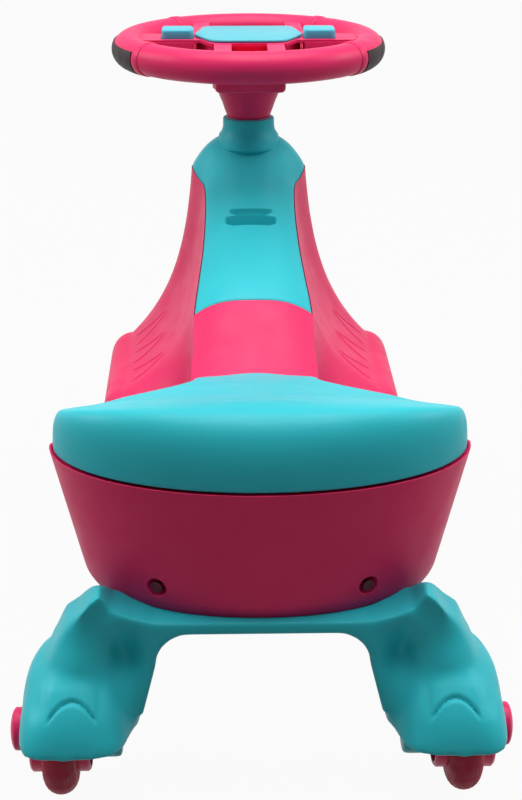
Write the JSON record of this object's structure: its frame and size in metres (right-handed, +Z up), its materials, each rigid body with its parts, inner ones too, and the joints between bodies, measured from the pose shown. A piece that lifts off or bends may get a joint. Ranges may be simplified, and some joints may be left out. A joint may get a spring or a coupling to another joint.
{
  "type": "wiggle car",
  "caption": "Ride-on wiggle car: moulded body with wide seat, foot-rest wings and covered neck, fendered rear wheels, and a steering wheel that turns a front wheel yoke.",
  "frame": {"origin": "on the floor under the middle of the outer box", "axes": "+Y forward to the nose, +X to the rider's right, +Z up"},
  "size_m": [0.331, 0.6776, 0.4262],
  "materials": {
    "body_pink": "satin",
    "pan_pink": "matte",
    "teal": "satin",
    "panel_teal": "satin",
    "key_teal": "satin",
    "bush_white": "matte",
    "steel": "brushed",
    "washer_steel": "brushed",
    "screw_steel": "satin",
    "spring_steel": "satin",
    "hub_pink": "satin",
    "tyre_red": "matte",
    "wheel_pink": "satin",
    "grip_dark": "matte",
    "cell_metal": "satin",
    "speaker_black": "matte",
    "board_green": "gloss"
  },
  "bodies": {
    "chassis": {"body_shell": "body_pink", "underbody_pan": "pan_pink", "seat": "teal", "neck_cover": "teal", "upper_bush": "bush_white", "lower_bush": "bush_white", "column_tube": "steel", "rear_cradle": "teal", "rear_axle_left": "steel", "rear_axle_right": "steel", "rear_washers": "washer_steel", "rear_push_nuts": "steel", "hub_cap_left": "hub_pink", "hub_cap_right": "hub_pink", "cradle_screws": "screw_steel", "tub_screws": "screw_steel", "bush_screws": "screw_steel"},
    "rear_wheel_left": {"rear_hub_left": "hub_pink", "rear_tyre_left": "tyre_red", "rear_sleeve_left": "bush_white"},
    "rear_wheel_right": {"rear_hub_right": "hub_pink", "rear_tyre_right": "tyre_red", "rear_sleeve_right": "bush_white"},
    "steering": {"steering_shaft": "steel", "thrust_washer": "washer_steel", "front_yoke": "teal", "yoke_bolt": "screw_steel", "boss_bolt": "screw_steel", "cross_nuts": "screw_steel", "front_axle": "steel", "front_washers": "washer_steel", "front_nuts": "steel", "front_cap_left": "hub_pink", "front_cap_right": "hub_pink", "wheel_upper": "wheel_pink", "wheel_lower": "wheel_pink", "wheel_screws": "screw_steel", "grip_left": "grip_dark", "grip_right": "grip_dark", "centre_panel": "panel_teal", "key_spring_left": "spring_steel", "key_spring_right": "spring_steel", "cells": "cell_metal", "speaker": "speaker_black", "sound_board": "board_green"},
    "front_wheel_left": {"front_hub_left": "hub_pink", "front_tyre_left": "tyre_red", "front_sleeve_left": "bush_white"},
    "front_wheel_right": {"front_hub_right": "hub_pink", "front_tyre_right": "tyre_red", "front_sleeve_right": "bush_white"},
    "left_key": {"key_left": "key_teal"},
    "right_key": {"key_right": "key_teal"}
  },
  "joints": [
    {"name": "steering_turn", "type": "hinge", "parent": "chassis", "child": "steering", "pos_m": [0, 0.20424, 0.2], "axis": [0, 0, 1], "continuous": true},
    {"name": "rear_wheel_left_roll", "type": "hinge", "parent": "chassis", "child": "rear_wheel_left", "pos_m": [-0.132, -0.27576, 0.043], "axis": [1, 0, 0], "continuous": true},
    {"name": "rear_wheel_right_roll", "type": "hinge", "parent": "chassis", "child": "rear_wheel_right", "pos_m": [0.132, -0.27576, 0.043], "axis": [1, 0, 0], "continuous": true},
    {"name": "front_wheel_left_roll", "type": "hinge", "parent": "steering", "child": "front_wheel_left", "pos_m": [-0.07, 0.24924, 0.043], "axis": [1, 0, 0], "continuous": true},
    {"name": "front_wheel_right_roll", "type": "hinge", "parent": "steering", "child": "front_wheel_right", "pos_m": [0.07, 0.24924, 0.043], "axis": [1, 0, 0], "continuous": true},
    {"name": "left_key_press", "type": "slide", "parent": "steering", "child": "left_key", "axis": [0, 0, -1], "range_m": [0, 0.002], "stiffness_N_per_m": 400, "deforming": ["key_spring_left"]},
    {"name": "right_key_press", "type": "slide", "parent": "steering", "child": "right_key", "axis": [0, 0, -1], "range_m": [0, 0.002], "stiffness_N_per_m": 400, "deforming": ["key_spring_right"]}
  ]
}
